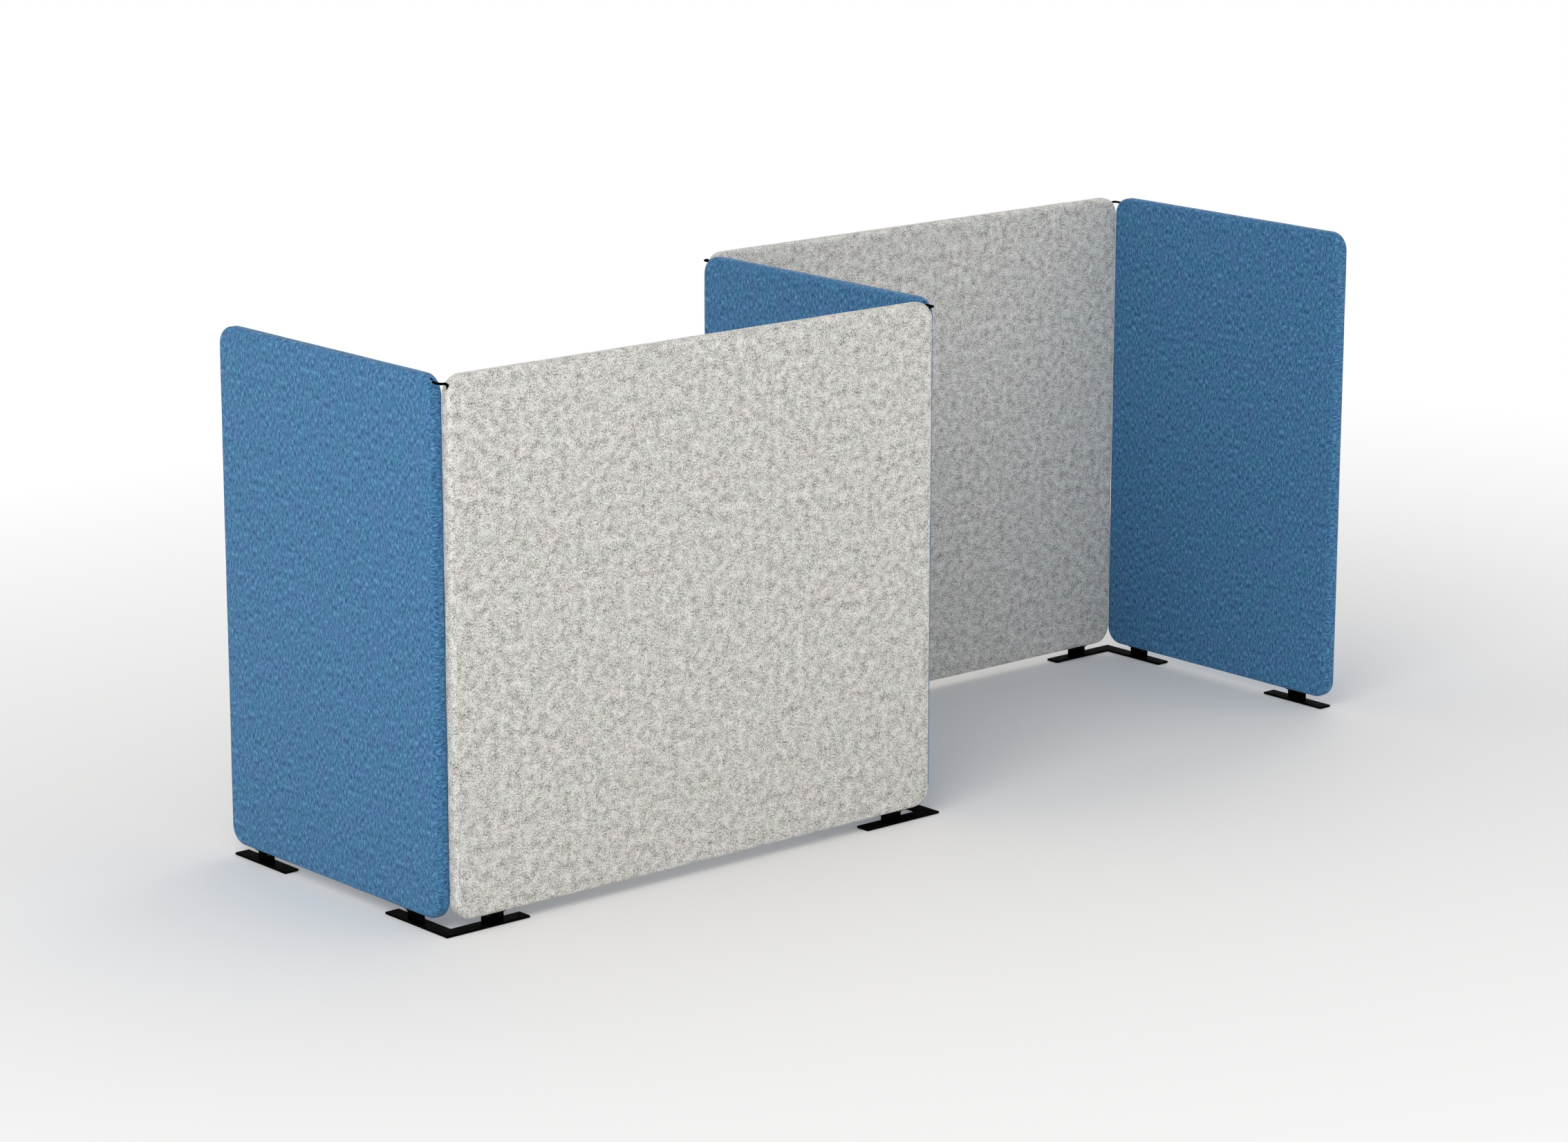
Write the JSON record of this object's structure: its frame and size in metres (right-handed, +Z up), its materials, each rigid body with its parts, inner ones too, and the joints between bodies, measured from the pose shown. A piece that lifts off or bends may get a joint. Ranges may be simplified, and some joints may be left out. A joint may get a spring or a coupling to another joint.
{
  "type": "study carrel",
  "caption": "Double study carrel of upholstered screens set in a zig-zag, blue sides and grey backs with rounded corners, on flat black feet with bent rod links.",
  "frame": {"origin": "on the floor, under the middle of the middle screen, which is the centre of the whole plan", "axes": "+Z up; +X along the two grey back screens, from the left bay to the right bay; +Y towards the bay that opens to the back"},
  "size_m": [2.884, 0.861, 1.243],
  "materials": {
    "blue_fabric": "mid-blue woven wool with a fine broken chevron, matt",
    "grey_felt": "light grey melange wool felt, matt",
    "wadding": "white polyester wadding",
    "acoustic_core": "sound-absorbing fibre board",
    "frame_timber": "planed pine",
    "dowel_wood": "beech",
    "strip_webbing": "black woven tape",
    "socket_plastic": "black moulded plastic",
    "socket_tube": "plain steel tube",
    "foot_steel": "black powder coat, fine texture",
    "link_steel": "black powder coat on round rod",
    "pad_rubber": "black rubber",
    "screw_steel": "zinc plated",
    "insert_brass": "plain brass"
  },
  "bodies": {
    "screens": {"left_screen_cover": "blue_fabric", "left_screen_wadding": "wadding", "left_screen_core": "acoustic_core", "left_screen_top_rail": "frame_timber", "left_screen_bottom_rail": "frame_timber", "left_screen_stiles": "frame_timber", "front_screen_cover": "grey_felt", "front_screen_wadding": "wadding", "front_screen_core": "acoustic_core", "front_screen_top_rail": "frame_timber", "front_screen_bottom_rail": "frame_timber", "front_screen_stiles": "frame_timber", "middle_screen_cover": "blue_fabric", "middle_screen_wadding": "wadding", "middle_screen_core": "acoustic_core", "middle_screen_top_rail": "frame_timber", "middle_screen_bottom_rail": "frame_timber", "middle_screen_stiles": "frame_timber", "back_screen_cover": "grey_felt", "back_screen_wadding": "wadding", "back_screen_core": "acoustic_core", "back_screen_top_rail": "frame_timber", "back_screen_bottom_rail": "frame_timber", "back_screen_stiles": "frame_timber", "right_screen_cover": "blue_fabric", "right_screen_wadding": "wadding", "right_screen_core": "acoustic_core", "right_screen_top_rail": "frame_timber", "right_screen_bottom_rail": "frame_timber", "right_screen_stiles": "frame_timber", "closing_strips": "strip_webbing", "frame_dowels": "dowel_wood", "side_link_sockets": "socket_plastic", "back_link_sockets": "socket_tube", "front_left_foot_plate": "foot_steel", "front_middle_foot_plate": "foot_steel", "back_middle_foot_plate": "foot_steel", "back_right_foot_plate": "foot_steel", "left_end_foot_plate": "foot_steel", "right_end_foot_plate": "foot_steel", "front_left_foot_brackets": "foot_steel", "front_middle_foot_brackets": "foot_steel", "back_middle_foot_brackets": "foot_steel", "back_right_foot_brackets": "foot_steel", "left_end_foot_bracket": "foot_steel", "right_end_foot_bracket": "foot_steel", "foot_pads": "pad_rubber", "bracket_screws": "screw_steel", "threaded_inserts": "insert_brass"},
    "front_left_link": {"front_left_link": "link_steel"},
    "front_middle_link": {"front_middle_link": "link_steel"},
    "back_middle_link": {"back_middle_link": "link_steel"},
    "back_right_link": {"back_right_link": "link_steel"}
  },
  "joints": [
    {"name": "front_left_link_lift", "type": "slide", "parent": "screens", "child": "front_left_link", "axis": [0, 0, 1], "range_m": [0, 0.06]},
    {"name": "front_middle_link_lift", "type": "slide", "parent": "screens", "child": "front_middle_link", "axis": [0, 0, 1], "range_m": [0, 0.06]},
    {"name": "back_middle_link_lift", "type": "slide", "parent": "screens", "child": "back_middle_link", "axis": [0, 0, 1], "range_m": [0, 0.06]},
    {"name": "back_right_link_lift", "type": "slide", "parent": "screens", "child": "back_right_link", "axis": [0, 0, 1], "range_m": [0, 0.06]}
  ]
}
